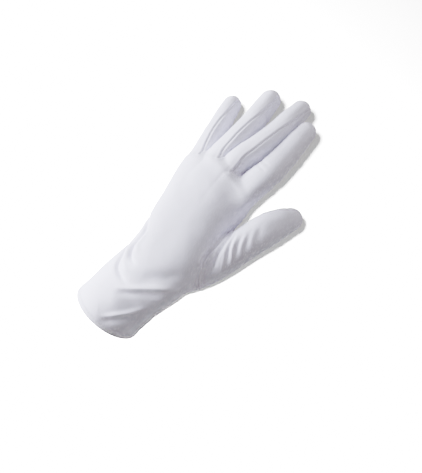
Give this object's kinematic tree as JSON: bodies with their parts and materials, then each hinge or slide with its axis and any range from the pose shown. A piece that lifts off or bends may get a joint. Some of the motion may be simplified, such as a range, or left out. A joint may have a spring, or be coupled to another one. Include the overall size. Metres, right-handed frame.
{
  "type": "cloth glove",
  "caption": "Plain white cotton dress glove for a left hand, worn form with curled fingers, sewn side strips between the fingers, a set-in thumb and a short hemmed cuff with wrist folds.",
  "frame": {"origin": "centre of the cuff opening, in the plane of the cuff's edge", "axes": "+Z square to the cuff's edge toward the fingers, -Y the way the back of the hand faces, +X the thumb side"},
  "size_m": [0.1219, 0.1075, 0.2154],
  "materials": {
    "white_cotton": "matte knitted cotton, unprinted"
  },
  "bodies": {
    "root": {"back": "white_cotton", "back_index": "white_cotton", "back_middle": "white_cotton", "back_ring": "white_cotton", "back_little": "white_cotton", "palm": "white_cotton", "palm_index": "white_cotton", "palm_middle": "white_cotton", "palm_ring": "white_cotton", "palm_little": "white_cotton", "thumb": "white_cotton", "fourchette_index_middle": "white_cotton", "fourchette_middle_ring": "white_cotton", "fourchette_ring_little": "white_cotton"}
  },
  "joints": []
}
